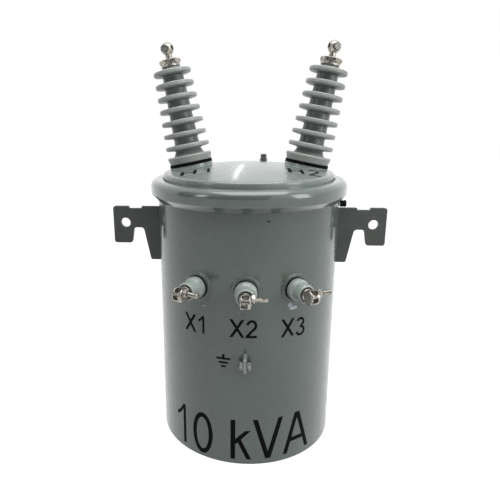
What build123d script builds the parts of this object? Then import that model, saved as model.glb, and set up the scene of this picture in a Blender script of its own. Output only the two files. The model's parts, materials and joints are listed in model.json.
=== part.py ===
from build123d import *
import os
from math import cos, hypot, radians, sin, sqrt

# A single-phase pole mounted distribution transformer, standing on its flat base.
# Millimetres. Z is up, the low-voltage terminals face -Y and the pole brackets face +Y.
# The origin is the centre of the base plate's underside, on the axis of the tank.

# Tank
tank_radius = 178.0
tank_wall = 3.0
mouth_height = 517.0
bottom_plate = 4.0
rim_width = 9.5
rim_depth = 14.0

# Cover, its gasket and the band that clamps it
gasket_thickness = 4.0
gasket_inset = 2.5
cover_sheet = 3.0
cover_inset = 11.5
cover_skirt_height = 15.0
cover_rise = 17.5
cover_shoulder = 6.0
band_sheet = 4.0
band_clearance = 0.5
band_shoulder = 14.0
band_foot_gap = 0.8
band_skirt_gap = 2.0
band_split = 16.0
ear_thickness = 8.0
ear_reach = 32.0
ear_height = 16.0
ear_bolt_reach = 17.6
band_bolt_radius = 5.0
band_bolt_across_flats = 17.0
band_bolt_head = 6.5
band_bolt_nut = 8.0
band_bolt_overhang = 6.0
bolt_clearance = 0.25
bolt_overlap = 1.0

# Lifting lugs, outlined outwards from the tank wall and down from their top edge
lug_thickness = 8.0
lug_reach = 97.5
lug_drop = 49.0
lug_foot_depth = 76.5
lug_foot_width = 37.0
lug_leg_depth = 112.0
lug_leg_width = 22.0
lug_notch_inset = 32.5
lug_notch_width = 26.5
lug_notch_depth = 4.4
lug_arch_slope = 5.0
lug_arch_depth = 44.0
lug_arch_radius = 10.0
lug_hole_inset = 24.9
lug_hole_depth = 34.0
lug_hole_radius = 10.0
lug_corner = 5.0

# Pole brackets at the back
bracket_spacing = 285.75
bracket_drop = 112.1
bracket_width = 76.0
bracket_height = 64.0
bracket_standoff = 45.0
bracket_plate = 6.0
bracket_bend = 9.0
bracket_slot_radius = 9.0
bracket_slot_length = 34.0

# High-voltage bushings on the cover, leaning out and back
hv_seat_inset = 46.8
hv_seat_turn = 13.9
hv_lean = 11.7
hv_seat_step = 0.3
hv_seat_margin = 2.2
hv_seat_depth = 14.0
hv_gasket_inset = 2.5
hv_gasket_thickness = 6.5
hv_flange_radius = 45.7
hv_flange_thickness = 14.5
hv_flange_taper = 4.2
hv_flange_shoulder = 6.0
hv_shank_radius = 22.0
hv_shank_length = 30.0
hv_shank_clearance = 1.0
hv_shed_count = 7
hv_first_shed = 38.4
hv_shed_pitch = 24.0
hv_shed_radius_low = 44.1
hv_shed_radius_high = 37.1
hv_shed_rim = 8.0
hv_shed_root = 13.0
hv_shed_slope = 1.0
hv_shed_rounding = 2.8
hv_body_radius_low = 25.0
hv_body_radius_high = 20.5
hv_neck_radius = 17.5
hv_neck_length = 4.2
hv_washer_radius = 18.5
hv_washer_thickness = 3.0
hv_cap_corner_radius = 21.3
hv_cap_thickness = 10.5
hv_cap_bevel = 3.5
hv_cap_bevel_height = 6.0
hv_cap_flare = 0.5
hv_stem_radius = 6.3
hv_stem_length = 10.0
hv_eye_radius = 12.5
hv_eye_flat = 10.0
hv_wire_radius = 4.5
hv_bolt_radius = 4.0
hv_bolt_across_flats = 13.0
hv_bolt_head = 5.5
hv_bolt_turn = 20.0

# Low-voltage bushings on the front of the tank
lv_drop = 165.0
lv_spread = 29.0
lv_boss_radius = 26.0
lv_boss_thickness = 2.5
lv_gasket_inset = 0.5
lv_gasket_thickness = 2.5
lv_base_radius = 20.0
lv_base_length = 9.0
lv_body_radius = 16.5
lv_body_length = 23.0
lv_recess_radius = 13.0
lv_recess_depth = 6.0
lv_shank_radius = 11.5
lv_shank_length = 22.0
lv_shank_clearance = 0.5
lv_collar_radius = 11.0
lv_collar_length = 9.0
lv_neck_radius = 7.0
lv_eye_reach = 52.0
lv_eye_radius = 13.0
lv_eye_width = 18.0
lv_cable_radius = 6.2
lv_cable_tilt = 28.0
lv_bolt_radius = 4.0
lv_bolt_length = 28.0
lv_bolt_rise = 4.5
lv_nut_across_flats = 14.0
lv_nut_thickness = 6.5
seat_clearance = 0.3
socket_floor = 0.8

# Earth terminal under the middle bushing
ground_plate_thickness = 5.0
ground_plate_reach = 25.0
ground_plate_top = 233.0
ground_plate_height = 38.0
ground_plate_square = 26.6
ground_plate_foot = 6.0
ground_bolt_reach = 13.0
ground_bolt_drop = 18.2
ground_bolt_radius = 4.0
ground_bolt_across_flats = 14.0
ground_head_thickness = 8.0
ground_nut_thickness = 6.5
ground_bolt_overhang = 4.0

# Pressure relief valve over the right lug, and the plug behind the crown of the cover
relief_drop = 40.6
relief_neck_radius = 4.5
relief_neck_length = 5.0
relief_cap_radius = 6.7
relief_cap_length = 12.0
plug_x = 32.0
plug_y = 104.0
plug_across_flats = 14.0
plug_nut_thickness = 9.0
plug_stud_radius = 4.5
plug_height = 16.0
plug_sink = 3.0

# Sealed contents, as one plain block
core_wall_gap = 40.0
core_mouth_gap = 60.0

# Sizes that follow from the tank, its mouth and what seats on them
gasket_top = mouth_height + gasket_thickness
flange_top = gasket_top + cover_sheet
band_top = flange_top + band_clearance + band_sheet
cover_edge = flange_top + cover_skirt_height
cover_apex = cover_edge + cover_rise
band_inner_radius = tank_radius + rim_width + band_clearance
band_outer_radius = band_inner_radius + band_sheet
cover_skirt_radius = tank_radius - cover_inset
lug_top = mouth_height - lug_drop
lug_hole_reach = lug_reach - lug_hole_inset
lug_hole_height = lug_top - lug_hole_depth
bracket_upper_height = mouth_height - bracket_drop
bracket_lower_height = bracket_upper_height - bracket_spacing
hv_seat_reach = cover_skirt_radius - hv_seat_inset
hv_seat_radius = hv_flange_radius - hv_seat_margin
hv_seat_hole = hv_shank_radius + hv_shank_clearance
hv_gasket_radius = hv_flange_radius - hv_gasket_inset
lv_height = mouth_height - lv_drop
lv_gasket_radius = lv_base_radius - lv_gasket_inset
relief_height = mouth_height - relief_drop

# How far a cutting shape reaches past what it cuts, and how far a welded piece starts inside
hole_margin = 5.0
inside_reach = 20.0


def rounded_face(corners, to_space):
    """A flat face through (u, v, corner radius) points, with tangent arcs at the corners."""
    stretches = []
    for i, (u, v, radius) in enumerate(corners):
        before = corners[i - 1]
        after = corners[(i + 1) % len(corners)]
        back = (before[0] - u, before[1] - v)
        ahead = (after[0] - u, after[1] - v)
        back = (back[0] / hypot(*back), back[1] / hypot(*back))
        ahead = (ahead[0] / hypot(*ahead), ahead[1] / hypot(*ahead))
        if radius <= 0:
            stretches.append([(u, v)])
            continue
        half_cosine = sqrt((1 + back[0] * ahead[0] + back[1] * ahead[1]) / 2)
        half_sine = sqrt(1 - half_cosine**2)
        tangent = radius * half_cosine / half_sine
        middle = radius / half_sine - radius
        bisector = (back[0] + ahead[0], back[1] + ahead[1])
        length = hypot(*bisector)
        stretches.append(
            [
                (u + back[0] * tangent, v + back[1] * tangent),
                (u + bisector[0] / length * middle, v + bisector[1] / length * middle),
                (u + ahead[0] * tangent, v + ahead[1] * tangent),
            ]
        )
    edges = []
    for i, stretch in enumerate(stretches):
        if len(stretch) == 3:
            edges.append(ThreePointArc(*[to_space(*point) for point in stretch]))
        start = stretch[-1]
        end = stretches[(i + 1) % len(stretches)][0]
        if hypot(end[0] - start[0], end[1] - start[1]) > 1e-6:
            edges.append(Line(to_space(*start), to_space(*end)))
    return Face(Wire(edges))


def turned(corners):
    """A body of revolution about Z from (radius, height, corner radius) points."""
    return revolve(rounded_face(corners, lambda r, z: (r, 0, z)), axis=Axis.Z)


def rod(radius, low, high):
    return turned([(0, low, 0), (radius, low, 0), (radius, high, 0), (0, high, 0)])


def tube(inner, outer, low, high, rounding=0.0):
    return turned([(inner, low, 0), (outer, low, rounding), (outer, high, rounding), (inner, high, 0)])


def hexagon(across_flats, low, high):
    """A hexagonal prism about Z."""
    outline = RegularPolygon(across_flats / 2, 6, major_radius=False)
    return Pos(0, 0, low) * extrude(outline, amount=high - low)


def placed(shape, origin, out, right):
    """Moves a shape from its own axes to an origin, with its Z along out and its X along right."""
    return Plane(origin=origin, x_dir=right, z_dir=out).location * shape


def save(node, shape):
    export_step(shape, f"parts/{node}.step")


def make_tank():
    wall = tube(tank_radius - tank_wall, tank_radius, 0, mouth_height)
    for azimuth in lv_azimuths():
        hole = rod(
            lv_shank_radius + lv_shank_clearance,
            tank_radius - inside_reach,
            tank_radius + hole_margin,
        )
        wall -= lv_placed(hole, azimuth)
    save("tank_wall", wall)
    save("tank_bottom", rod(tank_radius - tank_wall, 0, bottom_plate))
    rim_outer = tank_radius + rim_width
    rim_low = mouth_height - rim_depth
    save(
        "tank_rim",
        turned(
            [
                (tank_radius, rim_low - rim_width, 0),
                (rim_outer, rim_low, 1.5),
                (rim_outer, mouth_height, 1.0),
                (tank_radius, mouth_height, 0),
            ]
        ),
    )


def dome_height(reach, inset=0.0):
    """Height of the cover's skin at a distance from the tank's axis."""
    sphere_radius = (cover_skirt_radius**2 + cover_rise**2) / (2 * cover_rise)
    return cover_apex - sphere_radius + sqrt((sphere_radius - inset) ** 2 - reach**2)


def dome(inset, shoulder, low):
    """The solid under the cover's skin, made smaller by an inset on every side."""
    radius = cover_skirt_radius - inset
    edge = dome_height(radius, inset)
    face = Face(
        Wire(
            [
                Line((0, 0, low), (radius, 0, low)),
                Line((radius, 0, low), (radius, 0, edge)),
                ThreePointArc(
                    (radius, 0, edge),
                    (radius / 2, 0, dome_height(radius / 2, inset)),
                    (0, 0, dome_height(0, inset)),
                ),
                Line((0, 0, dome_height(0, inset)), (0, 0, low)),
            ]
        )
    )
    solid = revolve(face, axis=Axis.Z)
    rims = solid.edges().filter_by(GeomType.CIRCLE)
    return fillet([rim for rim in rims if abs(rim.center().Z - edge) < 0.01], shoulder)


def make_cover():
    # The flange ends where the lip of the band starts to bend down.
    flange_radius = band_outer_radius - band_shoulder
    body = dome(0, cover_shoulder, gasket_top)
    body += tube(cover_skirt_radius - cover_sheet, flange_radius, gasket_top, flange_top, 0.8)
    for side in (-1, 1):
        body += hv_placed(rod(hv_seat_radius, -hv_seat_depth, 0), side)
    body -= dome(cover_sheet, cover_shoulder - cover_sheet, gasket_top - hole_margin)
    for side in (-1, 1):
        body -= hv_placed(rod(hv_seat_hole, -3 * cover_rise, hole_margin), side)
    save("cover", body)
    gasket_outer = tank_radius + rim_width - gasket_inset
    save("cover_gasket", tube(tank_radius - tank_wall, gasket_outer, mouth_height, gasket_top))


def make_band():
    slope_drop = band_clearance * sqrt(2)
    sheet_drop = (band_clearance + band_sheet) * sqrt(2)
    rim_slope_foot = mouth_height - rim_depth - rim_width

    def under_rim(radius, drop):
        return rim_slope_foot + radius - tank_radius - drop

    foot = tank_radius + band_foot_gap
    lip = cover_skirt_radius + band_skirt_gap
    section = [
        (lip, band_top, 1.5),
        (band_outer_radius, band_top, band_shoulder),
        (band_outer_radius, under_rim(band_outer_radius, sheet_drop), 5.0),
        (foot, under_rim(foot, sheet_drop), 1.0),
        (foot, under_rim(foot, slope_drop), 1.0),
        (band_inner_radius, under_rim(band_inner_radius, slope_drop), 1.0),
        (band_inner_radius, band_top - band_sheet, band_shoulder - band_sheet),
        (lip, band_top - band_sheet, 0),
    ]
    band = turned(section)
    split_height = 4 * (band_top - rim_slope_foot)
    split = Pos(0, band_outer_radius, band_top) * Box(band_split, band_outer_radius, split_height)
    save("clamp_band", band - split)

    ear_middle = (band_top - band_shoulder + under_rim(band_outer_radius, sheet_drop)) / 2
    bolt_y = band_outer_radius + ear_bolt_reach
    barrel = rod(band_outer_radius, 0, band_top + hole_margin)
    bolt_hole = rod(band_bolt_radius + bolt_clearance, -band_split * 3, band_split * 3)
    across = {"origin": (0, bolt_y, ear_middle), "out": (1, 0, 0), "right": (0, 1, 0)}
    ear_start = band_outer_radius - ear_thickness
    for name, side in (("left", -1), ("right", 1)):
        x = side * (band_split / 2 + ear_thickness / 2)
        block = Box(ear_thickness, ear_reach + ear_thickness, ear_height)
        block = fillet(block.edges().filter_by(Axis.X).group_by(Axis.Y)[-1], ear_height / 4)
        ear = Pos(x, ear_start + (ear_reach + ear_thickness) / 2, ear_middle) * block
        save(f"band_ear_{name}", ear - barrel - placed(bolt_hole, **across))
    face = band_split / 2 + ear_thickness
    head = hexagon(band_bolt_across_flats, -face - band_bolt_head, -face)
    nut = hexagon(band_bolt_across_flats, face, face + band_bolt_nut)
    shank = rod(band_bolt_radius, -face - bolt_overlap, face + band_bolt_nut + band_bolt_overhang)
    save("band_bolt", placed(head + nut + shank, **across))


def make_lug(name, side):
    """A flat plate with a hole near its outer end and an arch between its foot and its leg."""
    notch_floor = lug_top - lug_notch_depth
    notch_end = lug_reach - lug_notch_inset
    notch_start = notch_end - lug_notch_width
    foot_low = lug_top - lug_foot_depth
    foot_inner = lug_reach - lug_foot_width
    arch_top = lug_top - lug_arch_depth
    arch_outer = foot_inner - lug_arch_slope
    arch_inner = arch_outer - 2 * lug_arch_radius
    leg_low = lug_top - lug_leg_depth
    outline = [
        (0, lug_top, 0),
        (notch_start, lug_top, 1.0),
        (notch_start, notch_floor, 1.0),
        (notch_end, notch_floor, 1.0),
        (notch_end, lug_top, 1.0),
        (lug_reach, lug_top, lug_corner),
        (lug_reach, foot_low, lug_corner),
        (foot_inner, foot_low, lug_corner),
        (arch_outer, arch_top, lug_arch_radius * 0.7),
        (arch_inner, arch_top, lug_arch_radius * 0.7),
        (lug_leg_width, leg_low, lug_corner * 0.8),
        (0, leg_low, 0),
    ]

    def to_space(out, z):
        return (side * (tank_radius + out), -lug_thickness / 2, z)

    plate = extrude(rounded_face(outline, to_space), amount=lug_thickness, dir=(0, 1, 0))
    hole = placed(
        rod(lug_hole_radius, -lug_thickness, lug_thickness),
        (side * (tank_radius + lug_hole_reach), 0, lug_hole_height),
        (0, -1, 0),
        (1, 0, 0),
    )
    save(f"lifting_lug_{name}", plate - hole)


def make_bracket(name, height):
    """A bent plate whose two legs meet the tank and whose face carries an upright slot."""
    outer_face = tank_radius + bracket_standoff
    inner_face = outer_face - bracket_plate
    half = bracket_width / 2
    low = height - bracket_height / 2
    start = tank_radius - inside_reach

    def to_space(x, y):
        return (x, y, low)

    outline = [
        (-half, start, 0),
        (-half, outer_face, bracket_bend),
        (half, outer_face, bracket_bend),
        (half, start, 0),
        (half - bracket_plate, start, 0),
        (half - bracket_plate, inner_face, bracket_bend - bracket_plate),
        (bracket_plate - half, inner_face, bracket_bend - bracket_plate),
        (bracket_plate - half, start, 0),
    ]
    bracket = extrude(rounded_face(outline, to_space), amount=bracket_height, dir=(0, 0, 1))
    slot = SlotOverall(bracket_slot_length, 2 * bracket_slot_radius, rotation=90)
    cutter = extrude(slot, amount=4 * bracket_plate)
    cut = placed(cutter, (0, outer_face + bracket_plate, height), (0, -1, 0), (1, 0, 0))
    save(f"hanger_bracket_{name}", bracket - cut - rod(tank_radius, 0, mouth_height))


def hv_axis(side):
    turn, lean = radians(hv_seat_turn), radians(hv_lean)
    return (side * sin(lean) * cos(turn), sin(lean) * sin(turn), cos(lean))


def hv_seat(side):
    """The middle of a bushing's seat, whose outer edge stands just above the skin of the cover."""
    turn, lean = radians(hv_seat_turn), radians(hv_lean)
    outer_edge = hv_seat_reach + hv_seat_radius * cos(lean)
    height = dome_height(outer_edge) + hv_seat_step + hv_seat_radius * sin(lean)
    return (side * hv_seat_reach * cos(turn), hv_seat_reach * sin(turn), height)


def hv_placed(shape, side):
    """Places a shape on a high-voltage bushing's axis, measured from its seat on the cover."""
    axis = hv_axis(side)
    bolt_turn = radians(hv_bolt_turn)
    front = Vector(side * sin(bolt_turn), -cos(bolt_turn), 0)
    right = front - Vector(*axis) * front.dot(Vector(*axis))
    return placed(shape, hv_seat(side), axis, right)


def hv_porcelain():
    """The ribbed insulator: shank, flange, sheds that shrink upwards, and neck."""
    flange_low = hv_gasket_thickness
    flange_high = flange_low + hv_flange_thickness
    top = hv_first_shed + (hv_shed_count - 1) * hv_shed_pitch + hv_shed_root / 2 + hv_neck_length
    steps = hv_shed_count - 1
    outline = [
        (0, -hv_shank_length, 0),
        (hv_shank_radius, -hv_shank_length, 2.0),
        (hv_shank_radius, flange_low, 0),
        (hv_flange_radius - hv_flange_taper, flange_low, 0),
        (hv_flange_radius, flange_high, 3.0),
        (hv_body_radius_low + hv_flange_shoulder, flange_high, 0),
    ]
    for k in range(hv_shed_count):
        middle = hv_first_shed + k * hv_shed_pitch
        share = k / steps
        rim = hv_shed_radius_low + (hv_shed_radius_high - hv_shed_radius_low) * share
        body = hv_body_radius_low + (hv_body_radius_high - hv_body_radius_low) * share
        half_rim, half_root = hv_shed_rim / 2, hv_shed_root / 2
        outline += [
            (body, middle - half_root, 2.5),
            (rim, middle - half_rim, hv_shed_rounding),
            (rim, middle + half_rim, hv_shed_rounding),
            (body, middle + half_rim + hv_shed_slope, 2.0),
        ]
    outline += [(hv_neck_radius, outline[-1][1], 1.0), (hv_neck_radius, top, 1.5), (0, top, 0)]
    return turned(outline), top


def make_hv(name, side):
    def put(node, shape):
        save(f"hv_{node}_{name}", hv_placed(shape, side))

    gasket = tube(hv_shank_radius + seat_clearance, hv_gasket_radius, 0, hv_gasket_thickness, 0.8)
    put("gasket", gasket)
    porcelain, top = hv_porcelain()
    put("porcelain", porcelain)
    cap_low = top + hv_washer_thickness
    cap_high = cap_low + hv_cap_thickness
    across_flats = hv_cap_corner_radius * 2 * cos(radians(30))
    washer = rod(hv_washer_radius, top, cap_low)
    bevel = turned(
        [
            (0, cap_low, 0),
            (hv_cap_corner_radius - hv_cap_bevel, cap_low, 0),
            (hv_cap_corner_radius + hv_cap_flare, cap_low + hv_cap_bevel_height, 0),
            (hv_cap_corner_radius, cap_high, 0),
            (0, cap_high, 0),
        ]
    )
    put("cap", washer + (hexagon(across_flats, cap_low, cap_high) & bevel))
    eye_middle = cap_high + hv_stem_length + sqrt(hv_eye_radius**2 - hv_stem_radius**2)
    ball = Pos(0, 0, eye_middle) * Sphere(hv_eye_radius)
    ball &= Pos(0, 0, eye_middle) * Box(2 * hv_eye_flat, 4 * hv_eye_radius, 4 * hv_eye_radius)
    stem = rod(hv_stem_radius, cap_high, eye_middle)
    wire = rod(hv_wire_radius, -2 * hv_eye_radius, 2 * hv_eye_radius)
    wire = placed(wire, (0, 0, eye_middle), (0, 1, 0), (1, 0, 0))
    bolt_axis = {"origin": (0, 0, eye_middle), "out": (1, 0, 0), "right": (0, 1, 0)}
    bolt_start = hv_wire_radius + socket_floor
    socket = placed(rod(hv_bolt_radius + bolt_clearance, bolt_start, 2 * hv_eye_radius), **bolt_axis)
    put("terminal", stem + ball - wire - socket)
    shank = rod(hv_bolt_radius, bolt_start + seat_clearance, hv_eye_flat + bolt_overlap)
    head = hexagon(hv_bolt_across_flats, hv_eye_flat, hv_eye_flat + hv_bolt_head)
    put("bolt", placed(shank + head, **bolt_axis))


def lv_azimuths():
    return (-lv_spread, 0.0, lv_spread)


def lv_placed(shape, azimuth):
    """Places a shape with its Z along a low-voltage bushing, measured from the tank's axis."""
    turn = radians(azimuth)
    return placed(shape, (0, 0, lv_height), (sin(turn), -cos(turn), 0), (cos(turn), sin(turn), 0))


def make_lv(name, azimuth):
    def put(node, shape):
        save(f"lv_{node}_{name}", lv_placed(shape, azimuth))

    boss_face = tank_radius + lv_boss_thickness
    seat = boss_face + lv_gasket_thickness
    shank_hole = lv_shank_radius + lv_shank_clearance
    boss = lv_placed(tube(shank_hole, lv_boss_radius, tank_radius - inside_reach, boss_face, 1.5), azimuth)
    save(f"lv_boss_{name}", boss - rod(tank_radius, 0, mouth_height))
    put("gasket", tube(shank_hole, lv_gasket_radius, boss_face, seat, 0.6))
    base_end = seat + lv_base_length
    front = base_end + lv_body_length
    recess = front - lv_recess_depth
    put(
        "porcelain",
        turned(
            [
                (0, tank_radius - lv_shank_length, 0),
                (lv_shank_radius, tank_radius - lv_shank_length, 2.0),
                (lv_shank_radius, seat, 0),
                (lv_base_radius, seat, 1.0),
                (lv_base_radius, base_end, 3.0),
                (lv_body_radius, base_end + 3.0, 3.0),
                (lv_body_radius, front, 3.0),
                (lv_recess_radius, front, 0.8),
                (lv_recess_radius, recess, 0.8),
                (0, recess, 0),
            ]
        ),
    )
    eye_middle = tank_radius + lv_eye_reach
    collar = tube(0, lv_collar_radius, recess, recess + lv_collar_length, 1.5)
    neck = rod(lv_neck_radius, recess, eye_middle)
    eye_axis = {"origin": (0, 0, eye_middle), "out": (1, 0, 0), "right": (0, 1, 0)}
    bolt_axis = eye_axis | {"origin": (0, lv_bolt_rise, eye_middle)}
    half_width = lv_eye_width / 2
    eye = placed(
        turned(
            [
                (0, -half_width, 0),
                (lv_eye_radius, -half_width, 2.5),
                (lv_eye_radius, half_width, 2.5),
                (0, half_width, 0),
            ]
        ),
        **eye_axis,
    )
    tilt = radians(lv_cable_tilt)
    cable = placed(
        rod(lv_cable_radius, -2 * lv_eye_radius, 2 * lv_eye_radius),
        (0, 0, eye_middle),
        (0, cos(tilt), sin(tilt)),
        (1, 0, 0),
    )
    bolt_start = lv_cable_radius + socket_floor
    socket = placed(rod(lv_bolt_radius + bolt_clearance, bolt_start, lv_eye_width), **bolt_axis)
    put("terminal", collar + neck + eye - cable - socket)
    shank = rod(lv_bolt_radius, bolt_start + seat_clearance, half_width + lv_bolt_length)
    nut = hexagon(lv_nut_across_flats, half_width, half_width + lv_nut_thickness)
    put("bolt", placed(shank + nut, **bolt_axis))


def make_ground():
    low = ground_plate_top - ground_plate_height
    outer = -(tank_radius + ground_plate_reach)
    outline = [
        (-tank_radius + inside_reach, ground_plate_top, 0),
        (outer, ground_plate_top, 5.0),
        (outer, ground_plate_top - ground_plate_square, 4.0),
        (-tank_radius - ground_plate_foot, low, 2.0),
        (-tank_radius + inside_reach, low, 0),
    ]

    def to_space(y, z):
        return (-ground_plate_thickness / 2, y, z)

    plate = extrude(rounded_face(outline, to_space), amount=ground_plate_thickness, dir=(1, 0, 0))
    bolt_y = -tank_radius - ground_bolt_reach
    bolt_z = ground_plate_top - ground_bolt_drop
    across = {"origin": (0, bolt_y, bolt_z), "out": (1, 0, 0), "right": (0, 1, 0)}
    hole = placed(rod(ground_bolt_radius + bolt_clearance, -inside_reach, inside_reach), **across)
    save("ground_lug", plate - hole - rod(tank_radius, 0, mouth_height))
    face = ground_plate_thickness / 2
    head = hexagon(ground_bolt_across_flats, face, face + ground_head_thickness)
    nut = hexagon(ground_bolt_across_flats, -face - ground_nut_thickness, -face)
    shank_end = face + ground_nut_thickness + ground_bolt_overhang
    shank = rod(ground_bolt_radius, -shank_end, face + bolt_overlap)
    save("ground_bolt", placed(head + nut + shank, **across))


def make_relief():
    def put(node, shape, cut=None):
        solid = placed(shape, (0, 0, relief_height), (1, 0, 0), (0, -1, 0))
        save(node, solid if cut is None else solid - cut)

    neck_end = tank_radius + relief_neck_length
    neck = rod(relief_neck_radius, tank_radius - inside_reach, neck_end)
    put("relief_valve", neck, rod(tank_radius, 0, mouth_height))
    put("relief_cap", tube(0, relief_cap_radius, neck_end, neck_end + relief_cap_length, 1.5))


def make_plug():
    """A vent plug at the back of the cover, standing upright on the dome."""
    foot = dome_height(hypot(plug_x, plug_y))
    nut = hexagon(plug_across_flats, foot - plug_sink, foot + plug_nut_thickness)
    stud = rod(plug_stud_radius, foot, foot + plug_height)
    save("vent_plug", Pos(plug_x, plug_y, 0) * (nut + stud) - dome(0, cover_shoulder, gasket_top))


def make_core():
    radius = tank_radius - tank_wall - core_wall_gap
    top = mouth_height - core_mouth_gap
    save("core_and_oil", rod(radius, bottom_plate + seat_clearance, top))


os.makedirs("parts", exist_ok=True)
make_tank()
make_cover()
make_band()
make_lug("left", -1)
make_lug("right", 1)
make_bracket("lower", bracket_lower_height)
make_bracket("upper", bracket_upper_height)
for bushing_name, bushing_side in (("h1", -1), ("h2", 1)):
    make_hv(bushing_name, bushing_side)
for bushing_name, bushing_azimuth in zip(("x1", "x2", "x3"), lv_azimuths()):
    make_lv(bushing_name, bushing_azimuth)
make_ground()
make_relief()
make_plug()
make_core()
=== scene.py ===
import json
import math

import bmesh
import bpy
from mathutils import Matrix, Vector
from mathutils.bvhtree import BVHTree


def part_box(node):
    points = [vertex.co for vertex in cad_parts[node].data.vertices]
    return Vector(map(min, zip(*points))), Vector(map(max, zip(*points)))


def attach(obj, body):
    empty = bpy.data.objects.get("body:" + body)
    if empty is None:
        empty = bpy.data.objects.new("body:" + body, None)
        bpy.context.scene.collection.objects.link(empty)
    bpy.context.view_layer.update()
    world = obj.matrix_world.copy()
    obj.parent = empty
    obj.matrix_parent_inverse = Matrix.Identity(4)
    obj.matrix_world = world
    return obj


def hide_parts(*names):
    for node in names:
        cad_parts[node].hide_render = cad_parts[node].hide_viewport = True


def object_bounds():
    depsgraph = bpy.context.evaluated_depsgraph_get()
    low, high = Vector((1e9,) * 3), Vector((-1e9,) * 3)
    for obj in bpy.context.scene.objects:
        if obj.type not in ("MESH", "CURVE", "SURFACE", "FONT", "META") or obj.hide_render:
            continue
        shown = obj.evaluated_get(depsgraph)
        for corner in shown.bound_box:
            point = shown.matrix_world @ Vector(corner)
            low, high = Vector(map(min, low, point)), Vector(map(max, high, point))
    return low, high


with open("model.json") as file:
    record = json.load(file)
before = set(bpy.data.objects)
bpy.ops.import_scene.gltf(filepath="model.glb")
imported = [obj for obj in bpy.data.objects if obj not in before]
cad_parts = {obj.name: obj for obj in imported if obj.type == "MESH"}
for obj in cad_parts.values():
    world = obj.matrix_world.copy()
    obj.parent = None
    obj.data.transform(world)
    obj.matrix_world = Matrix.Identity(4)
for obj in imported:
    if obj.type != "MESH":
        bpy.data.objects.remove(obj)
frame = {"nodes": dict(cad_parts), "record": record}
cad_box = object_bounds()
nodes = frame["nodes"]
mounts = {m["name"]: m for m in frame["record"]["mounts"]}

# Sizes in metres, read from the frame where it holds them
mm = 0.001
wall_low, wall_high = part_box("tank_wall")
tank_radius = wall_high.x
front_bushings = ("x1", "x2", "x3")
top_bushings = ("h1", "h2")
sides = (("left", -1), ("right", 1))
x_axis, z_axis = Vector((1, 0, 0)), Vector((0, 0, 1))

# The photograph's view, fitted to it. Its crop is off the centre, which is what the shift is for
camera_place = Vector((0.008312, -0.999015, 0.653))
camera_pitch = math.radians(15.417)
camera_yaw = math.radians(-4.055)
camera_roll = math.radians(-0.273)
camera_lens = 36.07
camera_sensor = 36.0
camera_shift = 0.0659


def new_object(name, data):
    made = bpy.data.objects.new(name, data)
    bpy.context.scene.collection.objects.link(made)
    return made


def add_camera():
    sin, cos = math.sin, math.cos
    flat = cos(camera_pitch)
    ahead = Vector((sin(camera_yaw) * flat, cos(camera_yaw) * flat, -sin(camera_pitch)))
    right = Vector((cos(camera_yaw), -sin(camera_yaw), 0))
    up = right.cross(ahead)
    rolled_right = cos(camera_roll) * right + sin(camera_roll) * up
    rolled_up = cos(camera_roll) * up - sin(camera_roll) * right
    data = bpy.data.cameras.new("view")
    data.lens = camera_lens
    data.sensor_width = camera_sensor
    data.shift_x = camera_shift
    camera = new_object("view", data)
    camera.matrix_world = Matrix((rolled_right, rolled_up, -ahead)).transposed().to_4x4()
    camera.location = camera_place
    bpy.context.scene.camera = camera


# Materials

# Low, because all round it is white, and its reflection would turn a black surface grey
black_specular = 0.06
ink_specular = 0.04
enamel_ior = 1.5
enamel_coat_roughness = 0.09


def scaled(tone, share):
    return tuple(channel * share for channel in tone)


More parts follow.
